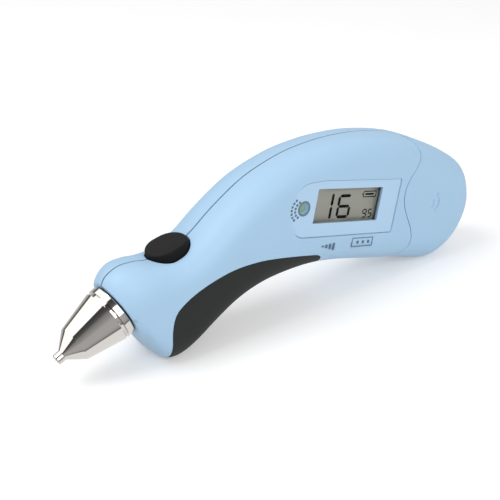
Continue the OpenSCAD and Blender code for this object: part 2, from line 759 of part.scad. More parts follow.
// How far the steps of the bore lie behind the ones of the outside
bore_end = 1.5;
seal_edge = 0.7;
module nose_seal() {
  color("#161616") at_nose() difference() {
    cylinder(seal_t, r = collar_r - seal_edge);
    translate([0, 0, -over]) cylinder(seal_t + 2 * over, r = spigot_r + slide_fit);
  }
}
module nose_nut() {
  color("goldenrod") at_nose() translate([0, 0, -nut_from - nut_t]) difference() {
    cylinder(nut_t, r = nut_r, $fn = 6);
    translate([0, 0, -over]) cylinder(nut_t + 2 * over, r = spigot_r + screw_gap);
  }
}
module transducer() {
  color("gainsboro") at_nose() union() {
    translate([0, 0, -transducer_from]) cylinder(transducer_from + transducer_to, r = transducer_r);
    translate([0, 0, -transducer_from - transducer_end])
      cylinder(2 * transducer_end, r = transducer_r - transducer_end);
  }
}
bridge_t = 0.8;
bridge_edge = 0.6;
bridge_pin = 0.8;
module gauge_bridge() {
  color("#8a6f2a") at_nose() translate([0, 0, transducer_to]) union() {
    cylinder(bridge_t, r = transducer_r - bridge_edge);
    cylinder(bridge_t + bridge_pin, r = bridge_pin);
  }
}
module tip_plunger() {
  from = transducer_to + bridge_t + bridge_pin + plunger_travel;
  color("silver") at_nose() union() {
    translate([0, 0, from]) cylinder(nose_end - from, r = plunger_r);
    translate([0, 0, from]) cylinder(nose_end - tip_len - bore_end - from, r = head_r);
  }
}

// A flat flex along a middle line
module flex(line, flex_t) {
  n = len(line);
  out = [for (k = [0:n - 1])
    let (d = pick(line, k + 1) - pick(line, k - 1)) flex_t / 2 / norm(d) * [-d[1], d[0]]];
  translate([0, board_back - half_thick + connector_h / 2, 0]) across(connector_h) polygon(concat(
    [for (k = [0:n - 1]) line[k] + out[k]],
    [for (k = [n - 1:-1:0]) line[k] - out[k]]
  ));
}
flex_t = 0.3;
module sensor_flex() {
  color("#c87b2e") flex(curve(concat(
    [nose_point(-transducer_from - transducer_end - 2 * flex_t)],
    [for (s = sensor_way_shares) side_point(s)],
    [display_point(connector_x - flex_t, connector_y[0])]
  ), 4), flex_t);
}
module switch_flex() {
  color("#c87b2e") flex(curve(concat(
    [button_point(switch_board_len / 3, -switch_base - switch_board_t - flex_t / 2)],
    [for (s = switch_way_shares) side_point(s)],
    [display_point(connector_x - flex_t, connector_y[1])]
  ), 4), flex_t);
}

module case_screws() {
  color("silver") at_screws() difference() {
    union() {
      translate([0, 0, head_seat]) cylinder(screw_head_t, r = screw_head_r);
      translate([0, 0, over - screw_in]) cylinder(head_seat + screw_in - over + slot_d / 4, r = screw_r);
    }
    // Cross slot
    for (a = [0, 90]) rotate([0, 0, a]) plate(-slot_len / 2, slot_len / 2, -slot_w / 2, slot_w / 2,
      head_seat + screw_head_t - slot_d, head_seat + screw_head_t + over);
  }
}

front_shell();
rear_shell();
battery_cover();
grip_pad();
button_cap();
switch_plunger();
switch_body();
switch_board();
display_panel();
display_window();
lcd_glass();
lcd_frame();
contact_strips();
light_pipe();
status_led();
main_board();
board_chips();
board_connectors();
board_screws();
sounder();
battery_pack();
battery_contacts();
battery_cradle();
nose_cone();
nose_seal();
nose_nut();
transducer();
gauge_bridge();
tip_plunger();
sensor_flex();
switch_flex();
case_screws();
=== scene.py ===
import math

import bpy
from mathutils import Matrix, Vector
from mathutils.bvhtree import BVHTree
from mathutils.interpolate import poly_3d_calc


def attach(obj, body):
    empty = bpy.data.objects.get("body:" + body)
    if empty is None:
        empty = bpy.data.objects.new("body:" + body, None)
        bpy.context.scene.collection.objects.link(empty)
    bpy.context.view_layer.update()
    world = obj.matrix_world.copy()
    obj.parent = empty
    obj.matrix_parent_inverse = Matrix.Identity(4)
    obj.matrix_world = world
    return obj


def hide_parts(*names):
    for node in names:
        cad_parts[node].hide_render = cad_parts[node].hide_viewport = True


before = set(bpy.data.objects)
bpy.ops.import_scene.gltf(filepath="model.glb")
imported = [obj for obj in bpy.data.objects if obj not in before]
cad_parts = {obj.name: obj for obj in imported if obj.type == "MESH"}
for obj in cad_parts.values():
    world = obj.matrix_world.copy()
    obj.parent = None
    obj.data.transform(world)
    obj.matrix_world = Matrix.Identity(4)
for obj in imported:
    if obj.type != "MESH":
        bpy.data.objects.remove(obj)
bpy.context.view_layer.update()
MM = 0.001

# ---- Places on the pen, in millimetres in the shared frame, and tilts in degrees ----
NOSE_AT = (-57.167, 0, 18.091)
BUTTON_AT = (-39.184, 0, 30.283)
DISPLAY_AT = (19.088, -11.5, 31.401)
NOSE_TILT, BUTTON_TILT, DISPLAY_TILT = 25.0, 11.5, 13.5


def local_frame(at, *turns):
    """The frame of a feature: its place, then its turns, each an angle and an axis."""
    m = Matrix.Translation(Vector(at) * MM)
    for angle, axis in turns:
        m = m @ Matrix.Rotation(math.radians(angle), 4, axis)
    return m


nose_frame = local_frame(NOSE_AT, (-90 - NOSE_TILT, "Y"))
button_frame = local_frame(BUTTON_AT, (-BUTTON_TILT, "Y"))
display_frame = local_frame(DISPLAY_AT, (DISPLAY_TILT, "Y"), (90, "X"))


# ---- Helpers ----
CAD_MERGE, SPIN_MERGE = 2e-6, 1e-7


def deselect():
    if bpy.context.object and bpy.context.object.mode != "OBJECT":
        bpy.ops.object.mode_set(mode="OBJECT")
    bpy.ops.object.select_all(action="DESELECT")


def pick_out(piece):
    deselect()
    piece.select_set(True)
    bpy.context.view_layer.objects.active = piece


def in_edit(piece, *steps):
    """Runs edit-mode steps on all of a piece."""
    pick_out(piece)
    bpy.ops.object.mode_set(mode="EDIT")
    bpy.ops.mesh.select_all(action="SELECT")
    for step in steps:
        step()
    bpy.ops.object.mode_set(mode="OBJECT")


def soften(piece, angle=35):
    pick_out(piece)
    bpy.ops.object.shade_smooth_by_angle(angle=math.radians(angle))


def apply_all(piece):
    pick_out(piece)
    for m in list(piece.modifiers):
        bpy.ops.object.modifier_apply(modifier=m.name)


def settle(piece, name, finish, body, place=None):
    """Puts a piece in its place in the mesh, with its finish, on its body."""
    piece.name = piece.data.name = name
    if place is not None:
        piece.data.transform(place)
    piece.data.materials.clear()
    piece.data.materials.append(finish)
    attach(piece, body)
    return piece


# ---- The body's smooth form, from nose to tail ----
FRONT_X, GLASS_X, TAIL_X, GLASS_SHARE = -60.512, 19.088, 77.419, 0.571
HALF_THICK, EDGE_DEPTH, RISE, FOOT = 11.5, 11.6, 50.8, 0.4
# The belly and the tail are planed off at the height of the floor
PLANED_Z = 0.02
# Each row: a point of the back, a point of the base, the section's share of the full
# thickness, and how square its edge is. All places are shares of the length and the rise.
OUTLINE = [
    (-0.0065, 0.494, 0.043, 0.209, 0.67, 2.0), (-0.0043, 0.535, 0.0531, 0.181, 0.79, 2.0),
    (0.0079, 0.579, 0.0667, 0.134, 0.88, 2.1), (0.0352, 0.61, 0.0818, 0.069, 0.93, 2.4),
    (0.0696, 0.608, 0.0983, 0.018, 0.97, 2.6), (0.099, 0.593, 0.1155, 0.0, 0.98, 2.8),
    (0.1385, 0.594, 0.1413, 0.008, 0.99, 2.8), (0.1743, 0.622, 0.1779, 0.055, 1.0, 2.8),
    (0.2109, 0.675, 0.2245, 0.131, 1.0, 2.8), (0.2669, 0.783, 0.2826, 0.212, 1.0, 2.8),
    (0.3472, 0.904, 0.3501, 0.262, 1.0, 2.8), (0.439, 0.976, 0.4254, 0.274, 1.0, 2.8),
    (0.5115, 0.998, 0.4986, 0.262, 1.0, 2.8), (0.5819, 0.998, 0.5797, 0.215, 1.0, 2.8),
    (0.6708, 0.972, 0.6584, 0.154, 1.0, 2.8), (0.7786, 0.898, 0.7364, 0.098, 1.0, 2.8),
    (0.8762, 0.776, 0.7982, 0.043, 1.0, 2.8), (0.9329, 0.687, 0.8493, 0.004, 1.0, 2.7),
    (0.9664, 0.62, 0.8907, 0.016, 0.98, 2.6), (0.9847, 0.551, 0.9286, 0.058, 0.92, 2.4),
    (0.9942, 0.48, 0.9592, 0.132, 0.8, 2.2), (0.9985, 0.413, 0.9796, 0.207, 0.61, 2.0),
    (1, 0.358, 0.9935, 0.291, 0.3, 2.0),
]


def outline_row(s):
    """The outline's values between two stations, on a smooth curve through all of them."""
    k = min(int(s), len(OUTLINE) - 2)
    t = s - k
    p = [OUTLINE[max(0, min(len(OUTLINE) - 1, k + j))] for j in (-1, 0, 1, 2)]
    return [0.5 * (2 * b + (c - a) * t + (2 * a - 5 * b + 4 * c - d) * t * t
                   + (3 * b - a - 3 * c + d) * t ** 3) for a, b, c, d in zip(*p)]


def side_point(a, b):
    """A point of the side outline from its shares of the length and the rise."""
    if a < GLASS_SHARE:
        x = GLASS_X - (GLASS_SHARE - a) / GLASS_SHARE * (GLASS_X - FRONT_X)
    else:
        x = GLASS_X + (a - GLASS_SHARE) / (1 - GLASS_SHARE) * (TAIL_X - GLASS_X)
    return Vector((x, 0, b * RISE - FOOT))


def body_form(steps=6, turns=22):
    """The whole outer surface in fine steps, used to read its places and directions."""
    rings = []
    for j in range((len(OUTLINE) - 1) * steps + 1):
        row = outline_row(j / steps)
        back, base = side_point(row[0], row[1]), side_point(row[2], row[3])
        down = (base - back).normalized()
        reach = min(EDGE_DEPTH, (base - back).length / 2)
        wide, power = HALF_THICK * row[4], 2 / row[5]
        half = []
        for start, way, ks in ((back, down, range(turns + 1)), (base, -down, range(turns, -1, -1))):
            for k in ks:
                turn = math.pi / 2 * k / turns
                p = start + way * reach * (1 - max(math.cos(turn), 0) ** power)
                half.append(Vector((p.x, wide * math.sin(turn) ** power, p.z)))
        rings.append(half + [Vector((p.x, -p.y, p.z)) for p in half[-2:0:-1]])
    n = len(rings[0])
    points = [p * MM for ring in rings for p in ring]
    faces = [(i * n + k, i * n + (k + 1) % n, (i + 1) * n + (k + 1) % n, (i + 1) * n + k)
             for i in range(len(rings) - 1) for k in range(n)]
    faces += [tuple(range(n))[::-1], tuple(range(len(points) - n, len(points)))]
    mesh = bpy.data.meshes.new("body_form")
    mesh.from_pydata(points, [], faces)
    mesh.validate()
    directions = [v.normal.copy() for v in mesh.vertices]
    tree = BVHTree.FromPolygons(points, faces)
    bpy.data.meshes.remove(mesh)
    return points, faces, directions, tree


form_points, form_faces, form_directions, form_tree = body_form()


def on_form(mesh, near, alike):
    """The faces that lie on the body's outer surface, without those that are planed off."""
    found = []
    for face in mesh.polygons:
        _, way, _, far = form_tree.find_nearest(face.center)
        flat = face.center.z < PLANED_Z * MM and face.normal.z < -0.99
        if far <= near * MM and abs(face.normal.dot(way)) >= alike and not flat:
            found.append(face)
    return found


def follow_form(piece, near=0.3, alike=0.9):
    """Lays the faces of the body's outer surface on its smooth form, and shades them with it."""
    in_edit(piece, lambda: bpy.ops.mesh.subdivide(number_cuts=1))
    mesh = piece.data
    faces = on_form(mesh, near, alike)
    for k in {i for face in faces for i in face.vertices}:
        vertex = mesh.vertices[k]
        place, _, _, far = form_tree.find_nearest(vertex.co)
        if far <= near * MM and vertex.co.z > PLANED_Z * MM and place.z > 0:
            vertex.co = place
    mesh.update()
    corners = [Vector(c.vector) for c in mesh.corner_normals]
    for face in faces:
        for i in face.loop_indices:
            spot = mesh.vertices[mesh.loops[i].vertex_index].co
            place, _, index, far = form_tree.find_nearest(spot)
            if far > near * MM or index >= len(form_faces) - 2:
                continue
            ring = form_faces[index]
            shares = poly_3d_calc([form_points[k] for k in ring], place)
            way = Vector()
            for share, k in zip(shares, ring):
                way += share * form_directions[k]
            if way.dot(face.normal) < 0:
                way = -way
            if way.length > 0.5:
                corners[i] = way.normalized()
    mesh.normals_split_custom_set(corners)


def smooth_copy(node, name, finish, body, angle=35):
    """A copy of a CAD node with its loose triangles joined, which stands for the node."""
    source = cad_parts[node]
    piece = source.copy()
    piece.data = source.data.copy()
    bpy.context.collection.objects.link(piece)
    piece.parent = None
    piece.matrix_world = Matrix.Identity(4)
    in_edit(piece, lambda: bpy.ops.mesh.remove_doubles(threshold=CAD_MERGE))
    soften(piece, angle)
    follow_form(piece)
    settle(piece, name, finish, body)
    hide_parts(node)
    return piece


def turned(profile, steps=96):
    """A turned piece: a closed profile of (radius, height), spun round Z."""
    mesh = bpy.data.meshes.new("turned")
    n = len(profile)
    edges = [(k, (k + 1) % n) for k in range(n)]
    mesh.from_pydata([Vector((r, 0, z)) * MM for r, z in profile], edges, [])
    piece = bpy.data.objects.new("turned", mesh)
    bpy.context.collection.objects.link(piece)
    in_edit(
        piece,
        lambda: bpy.ops.mesh.spin(steps=steps, angle=math.tau, center=(0, 0, 0), axis=(0, 0, 1)),
    )
    in_edit(
        piece,
        lambda: bpy.ops.mesh.remove_doubles(threshold=SPIN_MERGE),
        lambda: bpy.ops.mesh.normals_make_consistent(inside=False),
    )
    return piece


def slab(points, z0, z1, edge=0.0, steps=2):
    """A flat piece with a closed outline, from z0 to z1, with small rounded edges."""
    mesh = bpy.data.meshes.new("slab")
    mesh.from_pydata([Vector((x, y, z0)) * MM for x, y in points], [], [list(range(len(points)))])
    piece = bpy.data.objects.new("slab", mesh)
    bpy.context.collection.objects.link(piece)
    in_edit(
        piece,
        lambda: bpy.ops.mesh.extrude_region_move(
            TRANSFORM_OT_translate={"value": (0, 0, (z1 - z0) * MM)}
        ),
    )
    in_edit(piece, lambda: bpy.ops.mesh.normals_make_consistent(inside=False))
    if edge:
        bevel = piece.modifiers.new("edge", "BEVEL")
        bevel.width = edge * MM
        bevel.segments = steps
        bevel.limit_method = "ANGLE"
        bevel.angle_limit = math.radians(50)
        apply_all(piece)
    return piece


def join(pieces):
    deselect()
    for p in pieces:
        p.select_set(True)
    bpy.context.view_layer.objects.active = pieces[0]
    bpy.ops.object.join()
    return pieces[0]


def box_points(x0, x1, y0, y1):
    return [(x0, y0), (x1, y0), (x1, y1), (x0, y1)]


def stadium(length, width, steps=28):
    """An outline with two round ends, as long and as wide as given."""
    r = width / 2
    ends = [(side * (length / 2 - r), math.pi / 2 * (2 * k / steps - side))
            for side in (1, -1) for k in range(steps + 1)]
    return [(x + r * math.cos(turn), r * math.sin(turn)) for x, turn in ends]


# ---- Finishes ----
# PAINTED_SEAM_SHADE darkens the base colour in the parting groove: painted shade
COAT_ROUGH, PAINTED_SEAM_SHADE, GRAIN_DEPTH = 0.12, 0.42, 0.0002


def new_group(name, inputs, outputs):
    group = bpy.data.node_groups.new(name, "ShaderNodeTree")
    for label, value in inputs:
        socket = group.interface.new_socket(label, in_out="INPUT", socket_type="NodeSocketFloat")
        socket.default_value = value
    for label, kind in outputs:
        group.interface.new_socket(label, in_out="OUTPUT", socket_type=kind)
    return group


def build_grain():
    """Fine surface grain: a height for bump and a slow mask for colour and roughness."""
    group = new_group(
        "fine_grain",
        [("Grain Scale", 2500.0), ("Blotch Scale", 60.0)],
        [("Height", "NodeSocketFloat"), ("Mask", "NodeSocketFloat")],
    )
    nodes, links = group.nodes, group.links
    entry, leave = nodes.new("NodeGroupInput"), nodes.new("NodeGroupOutput")
    place = nodes.new("ShaderNodeTexCoord")
    fine, slow = nodes.new("ShaderNodeTexNoise"), nodes.new("ShaderNodeTexNoise")
    fine.inputs["Detail"].default_value = 2.0
    slow.inputs["Detail"].default_value = 4.0
    links.new(place.outputs["Object"], fine.inputs["Vector"])
    links.new(place.outputs["Object"], slow.inputs["Vector"])
    links.new(entry.outputs["Grain Scale"], fine.inputs["Scale"])
    links.new(entry.outputs["Blotch Scale"], slow.inputs["Scale"])
    links.new(fine.outputs["Fac"], leave.inputs["Height"])
    links.new(slow.outputs["Fac"], leave.inputs["Mask"])
    return group


grain = build_grain()


def finish(name, color, roughness, metallic=0.0, spread=0.04, bump=0.02, grain_scale=2500.0,
           blotch=60.0, coat=0.0, ior=1.46, transmission=0.0, rough_spread=0.08, seam=0.0):
    """A moulded, painted or metal finish with fine grain and slow colour change.

    With a seam, in millimetres, it is darker that near to the parting plane: painted shade for the
    groove there.
    """
    m = bpy.data.materials.new(name)
    m.use_nodes = True
    nodes, links = m.node_tree.nodes, m.node_tree.links
    shader = nodes["Principled BSDF"]
    shader.inputs["Metallic"].default_value = metallic
    shader.inputs["IOR"].default_value = ior
    shader.inputs["Coat Weight"].default_value = coat
    shader.inputs["Coat Roughness"].default_value = COAT_ROUGH
    shader.inputs["Transmission Weight"].default_value = transmission
    surface = nodes.new("ShaderNodeGroup")
    surface.node_tree = grain
    surface.inputs["Grain Scale"].default_value = grain_scale
    surface.inputs["Blotch Scale"].default_value = blotch
    tint = nodes.new("ShaderNodeMix")
    tint.data_type = "RGBA"
    low = [c * (1 - spread) for c in color]
    high = [min(1.0, c * (1 + spread)) for c in color]
    tint.inputs["A"].default_value = (*low, 1)
    tint.inputs["B"].default_value = (*high, 1)
    links.new(surface.outputs["Mask"], tint.inputs["Factor"])
    links.new(tint.outputs["Result"], shader.inputs["Base Color"])
    if seam:
        # Painted shade in the groove along the parting plane: darker where Y is nearly zero
        place, parts = nodes.new("ShaderNodeTexCoord"), nodes.new("ShaderNodeSeparateXYZ")
        side, near = nodes.new("ShaderNodeMath"), nodes.new("ShaderNodeMath")
        side.operation, near.operation = "ABSOLUTE", "LESS_THAN"
        near.inputs[1].default_value = seam * MM
        shade = nodes.new("ShaderNodeMix")
        shade.data_type = "RGBA"
        shade.inputs["B"].default_value = (*[c * PAINTED_SEAM_SHADE for c in color], 1)
        links.new(place.outputs["Object"], parts.inputs[0])
        links.new(parts.outputs["Y"], side.inputs[0])
        links.new(side.outputs[0], near.inputs[0])
        links.new(near.outputs[0], shade.inputs["Factor"])
        links.new(tint.outputs["Result"], shade.inputs["A"])
        links.new(shade.outputs["Result"], shader.inputs["Base Color"])
    rough = nodes.new("ShaderNodeMapRange")
    rough.inputs["To Min"].default_value = max(0.0, roughness - rough_spread)
    rough.inputs["To Max"].default_value = min(1.0, roughness + rough_spread)
    links.new(surface.outputs["Mask"], rough.inputs["Value"])
    links.new(rough.outputs["Result"], shader.inputs["Roughness"])
    if bump:
        relief = nodes.new("ShaderNodeBump")
        relief.inputs["Strength"].default_value = bump
        relief.inputs["Distance"].default_value = GRAIN_DEPTH
        links.new(surface.outputs["Height"], relief.inputs["Height"])
        links.new(relief.outputs["Normal"], shader.inputs["Normal"])
    return m


BLUE = (0.385, 0.575, 0.765)
blue_plastic = finish("blue_plastic", BLUE, 0.45, spread=0.02, bump=0.015, ior=1.32)
# The halves carry painted shade along their parting groove
blue_halves = finish("blue_halves", BLUE, 0.45, spread=0.02, bump=0.015, ior=1.32, seam=0.27)
panel_film = finish("panel_film", (0.41, 0.60, 0.80), 0.24, spread=0.015, bump=0.006, coat=0.3)
grip_rubber = finish("grip_rubber", (0.020, 0.022, 0.022), 0.72, spread=0.15, bump=0.12,
                     grain_scale=3500.0, ior=1.35)
button_plastic = finish("button_plastic", (0.006, 0.006, 0.006), 0.6, spread=0.1, bump=0.04,
                        ior=1.25)
polished_steel = finish("polished_steel", (0.66, 0.63, 0.60), 0.07, metallic=1.0, spread=0.03,
                        bump=0.01, grain_scale=900.0, rough_spread=0.03)
plain_steel = finish("plain_steel", (0.60, 0.60, 0.60), 0.28, metallic=1.0)
lcd_grey = finish("lcd_grey", (0.39, 0.385, 0.33), 0.35, spread=0.03, bump=0.0, blotch=150.0)
lcd_ink = finish("lcd_ink", (0.004, 0.005, 0.004), 0.6, spread=0.1, bump=0.0, ior=1.1)
mark_ink = finish("mark_ink", (0.09, 0.15, 0.23), 0.5, spread=0.1, bump=0.0)
frame_black = finish("frame_black", (0.03, 0.03, 0.035), 0.45)
frame_grey = finish("frame_grey", (0.15, 0.15, 0.125), 0.5, bump=0.0)
clear_window = finish("clear_window", (0.97, 0.98, 0.98), 0.04, spread=0.0, bump=0.0, ior=1.1,
                      transmission=1.0, rough_spread=0.01)
clear_pipe = finish("clear_pipe", (0.20, 0.36, 0.23), 0.2, spread=0.02, bump=0.0)
# Grey of the lamp ring; the same finish is painted shade round the sound holes
lamp_grey_and_hole_shade = finish("lamp_grey_and_hole_shade", (0.12, 0.17, 0.22), 0.35, bump=0.01)
led_body = finish("led_body", (0.70, 0.82, 0.50), 0.25)
board_green = finish("board_green", (0.015, 0.16, 0.07), 0.35, spread=0.12, blotch=400.0, coat=0.3)
chip_black = finish("chip_black", (0.02, 0.02, 0.02), 0.5)
connector_ivory = finish("connector_ivory", (0.72, 0.66, 0.52), 0.4)
strip_rubber = finish("strip_rubber", (0.40, 0.20, 0.25), 0.6)
switch_red = finish("switch_red", (0.45, 0.03, 0.03), 0.4)
pack_wrap = finish("pack_wrap", (0.04, 0.14, 0.38), 0.3, coat=0.3)
contact_gold = finish("contact_gold", (0.85, 0.62, 0.25), 0.25, metallic=1.0)
cradle_grey = finish("cradle_grey", (0.55, 0.55, 0.52), 0.45)
seal_black = finish("seal_black", (0.01, 0.01, 0.01), 0.6)
brass = finish("brass", (0.78, 0.57, 0.25), 0.28, metallic=1.0)
flex_amber = finish("flex_amber", (0.55, 0.24, 0.05), 0.3, spread=0.1, coat=0.2)

plain_nodes = {
    "switch_plunger": switch_red, "switch_body": frame_black, "switch_board": board_green,
    "lcd_glass": lcd_grey, "lcd_frame": frame_grey, "contact_strips": strip_rubber,
    "status_led": led_body, "main_board": board_green, "board_chips": chip_black,
    "board_connectors": connector_ivory, "board_screws": plain_steel, "sounder": chip_black,
    "battery_pack": pack_wrap, "battery_contacts": contact_gold, "battery_cradle": cradle_grey,
    "nose_seal": seal_black, "nose_nut": brass, "transducer": plain_steel,
    "gauge_bridge": brass, "tip_plunger": polished_steel, "sensor_flex": flex_amber,
    "switch_flex": flex_amber, "case_screws": plain_steel, "display_window": clear_window,
    "light_pipe": clear_pipe, "display_panel": panel_film,
}
for node, material in plain_nodes.items():
    node_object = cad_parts[node]
    if not node_object.material_slots:
        node_object.data.materials.append(material)
    for one_slot in node_object.material_slots:
        one_slot.link = "OBJECT"
        one_slot.material = material

# ---- Body ----
smooth_copy("front_shell", "front_half", blue_halves, "pen")
smooth_copy("rear_shell", "rear_half", blue_halves, "pen")
smooth_copy("battery_cover", "tail_cap", blue_plastic, "battery_cover_body")
smooth_copy("grip_pad", "soft_grip", grip_rubber, "pen")

# ---- Nose ----
# Radius and height: spigot, collar, groove, long cone, short cone, foot plate, then the bore
NOSE_PROFILE = [
    (3.85, -6.0), (4.8, -6.0), (4.8, 0.5), (7.95, 0.5), (8.12, 0.58), (8.2, 0.75),
    (8.2, 2.35), (8.12, 2.52), (7.95, 2.6), (7.3, 2.6), (7.3, 3.4), (7.85, 3.4),
    (8.02, 3.46), (8.1, 3.65), (5.43, 14.9), (5.36, 15.1), (1.72, 19.38), (1.6, 19.6),
    (1.6, 21.4), (1.52, 21.55), (1.4, 21.6), (0.55, 21.6), (0.55, 18.0), (0.95, 18.0),
    (0.95, 13.5), (3.85, 9.5),
]
nose = turned(NOSE_PROFILE, 128)
soften(nose, 24)
settle(nose, "steel_nose", polished_steel, "pen", nose_frame)
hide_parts("nose_cone")

# ---- Operator button ----
BUTTON_LEN, BUTTON_WIDE, BUTTON_LOW, BUTTON_RISE, BUTTON_EDGE = 13, 11, -3.2, 2.4, 1.0
button = slab(stadium(BUTTON_LEN, BUTTON_WIDE), BUTTON_LOW, BUTTON_RISE, BUTTON_EDGE, 5)
soften(button, 30)
settle(button, "thumb_button", button_plastic, "operator_button", button_frame)
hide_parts("button_cap")

# ---- What the glass shows: seven-segment numbers and a battery sign ----
GLASS_W, GLASS_H, GLASS_Z = 26.9, 10.7, -2.7
SIGN_LOW, SIGN_TOP = GLASS_Z + 0.01, GLASS_Z + 0.05
SEGMENTS = {"1": "bc", "6": "acdefg", "9": "abcdfg", "5": "acdfg"}
# Each row: the digit, its left, right, top and base as shares of the glass, and its stroke
DIGITS = [("1", 0.17, 0.313, 0.19, 0.97, 0.95), ("6", 0.42, 0.595, 0.285, 0.905, 0.95),
          ("9", 0.83, 0.885, 0.725, 0.955, 0.4), ("5", 0.92, 0.972, 0.725, 0.955, 0.4)]
CELL_CORNERS = (0.786, 0.175), (0.985, 0.34)
CELL_STROKE, LEVEL_STROKE = 0.32, 0.6


def glass_point(u, v):
    """A place on the glass from its shares of the width and, from the top, the height."""
    return ((u - 0.5) * GLASS_W, (0.5 - v) * GLASS_H)


def bar(x0, y0, x1, y1, width):
    """One segment: a bar with pointed ends."""
    dx, dy = x1 - x0, y1 - y0
    length = math.hypot(dx, dy)
    ux, uy = dx / length, dy / length
    h = width / 2
    along = [(0, 0), (h, h), (length - h, h), (length, 0), (length - h, -h), (h, -h)]
    points = [(x0 + a * ux - b * uy, y0 + a * uy + b * ux) for a, b in along]
    return slab(points, SIGN_LOW, SIGN_TOP)


def digit(char, u0, u1, v0, v1, width):
    """The segments of one digit, with small gaps between them."""
    x0, y1 = glass_point(u0, v0)
    x1, y0 = glass_point(u1, v1)
    ym = (y0 + y1) / 2
    gap = width * 0.12
    lines = {
        "a": (x0 + gap, y1, x1 - gap, y1), "g": (x0 + gap, ym, x1 - gap, ym),
        "d": (x0 + gap, y0, x1 - gap, y0), "f": (x0, ym + gap, x0, y1 - gap),
        "b": (x1, ym + gap, x1, y1 - gap), "e": (x0, y0 + gap, x0, ym - gap),
        "c": (x1, y0 + gap, x1, ym - gap),
    }
    return [bar(*lines[s], width) for s in SEGMENTS[char]]


def battery_sign():
    """A lying cell: its outline, its pole on the left and the bar inside."""
    x0, y1 = glass_point(*CELL_CORNERS[0])
    x1, y0 = glass_point(*CELL_CORNERS[1])
    ym = (y0 + y1) / 2
    lines = [(x0, y0, x1, y0), (x0, y1, x1, y1), (x0, y0, x0, y1), (x1, y0, x1, y1),
             (x0 - 0.5, y0 + 0.6, x0 - 0.5, y1 - 0.6)]
    level = bar(x0 + 0.55, ym, x1 - 0.9, ym, LEVEL_STROKE)
    return [bar(*line, CELL_STROKE) for line in lines] + [level]


signs = join([one for row in DIGITS for one in digit(*row)] + battery_sign())
settle(signs, "lcd_signs", lcd_ink, "pen", display_frame)

# ---- Lamp ring, in the display's frame, a little sunk into the panel's face ----
LAMP_AT = (-17.95, -0.5)
RING_LOW = -0.42
LAMP_RING = [(1.72, RING_LOW), (2.35, RING_LOW), (2.35, -0.34), (2.2, -0.26), (1.9, -0.26),
             (1.72, -0.34)]
ring = turned(LAMP_RING, 64)
soften(ring, 40)
settle(ring, "lamp_ring", lamp_grey_and_hole_shade, "pen",
       display_frame @ Matrix.Translation((LAMP_AT[0] * MM, LAMP_AT[1] * MM, 0)))

# ---- Painted shade round the sound holes: dark rings that make them read darker and larger, in two arcs beside the lamp ----
HOLE_SHADE_RING = [(0.27, RING_LOW), (0.44, RING_LOW), (0.44, -0.385), (0.27, -0.385)]
SOUND_MID = (LAMP_AT[0] - 0.85, LAMP_AT[1] - 0.3)
SOUND_TURN = 183
# Each arc: its radius, the step in degrees and the number of holes
SOUND_ARCS = [(2.55, 24.8, 6), (3.9, 16.7, 7)]
hole_shade_rings = []
for r, step, count in SOUND_ARCS:
    for k in range(count):
        turn = math.radians(SOUND_TURN + step * (k - (count - 1) / 2))
        spot = Vector((SOUND_MID[0] + r * math.cos(turn), SOUND_MID[1] + r * math.sin(turn), 0))
        # Each ring is a dark band round one hole: painted shade
        edge = turned(HOLE_SHADE_RING, 16)
        edge.data.transform(Matrix.Translation(spot * MM))
        hole_shade_rings.append(edge)
settle(join(hole_shade_rings), "sound_hole_painted_shade", lamp_grey_and_hole_shade, "pen", display_frame)

# ---- Finger mark on the tail cap: two moulded ridges, each with its width and height ----
RIDGES = [
    ([(39.2, 2.6), (40.5, 1.0), (40.8, -1.0), (39.4, -3.6)], 0.6, 0.34),
    ([(38.0, 0.6), (38.4, -0.8), (37.9, -2.3)], 0.5, 0.28),
]


def ridge(points, width, height):
    """A low rounded ridge along a smooth line, on the display side of the body."""
    curve = bpy.data.curves.new("ridge", "CURVE")
    curve.dimensions = "3D"
    curve.resolution_u = 12
    line = curve.splines.new("BEZIER")
    line.bezier_points.add(len(points) - 1)
    for spot, (x, y) in zip(line.bezier_points, points):
        spot.co = Vector((x, y, 0)) * MM
        spot.handle_left_type = spot.handle_right_type = "AUTO"
    curve.bevel_depth = width / 2 * MM
    curve.bevel_resolution = 4
    curve.use_fill_caps = True
    piece = bpy.data.objects.new("ridge", curve)
    bpy.context.collection.objects.link(piece)
    pick_out(piece)
    bpy.ops.object.convert(target="MESH")
    piece = bpy.context.object
    piece.data.transform(Matrix.Diagonal((1, 1, height / (width / 2), 1)))
    in_edit(piece, lambda: bpy.ops.mesh.normals_make_consistent(inside=False))
    soften(piece, 60)
    return piece


ridges = join([ridge(*row) for row in RIDGES])
settle(ridges, "finger_ridges", blue_plastic, "battery_cover_body", display_frame)

# ---- Plain printed marks under the panel: four rising bars, and a frame with three dots ----
MARK_LOW, MARK_TOP = -0.06, 0.03
FRAME_X0, FRAME_X1, FRAME_Y0, FRAME_Y1, FRAME_LINE = 4.2, 13.2, -13.6, -10.6, 0.25
BAR_X, BAR_STEP, BAR_WIDE = -8.2, 1.5, 0.8
DOT_X, DOT_STEP, DOT_WIDE, DOT_Y = 6.3, 2.3, 0.9, -12.55
mark_boxes = [(BAR_X + BAR_STEP * k, BAR_X + BAR_STEP * k + BAR_WIDE, -12.9 - 0.36 * k,
               -12.4 + 0.22 * k) for k in range(4)]
mark_boxes += [
    (FRAME_X0, FRAME_X1, FRAME_Y0, FRAME_Y0 + FRAME_LINE),
    (FRAME_X0, FRAME_X1, FRAME_Y1 - FRAME_LINE, FRAME_Y1),
    (FRAME_X0, FRAME_X0 + FRAME_LINE, FRAME_Y0 + FRAME_LINE, FRAME_Y1 - FRAME_LINE),
    (FRAME_X1 - FRAME_LINE, FRAME_X1, FRAME_Y0 + FRAME_LINE, FRAME_Y1 - FRAME_LINE),
]
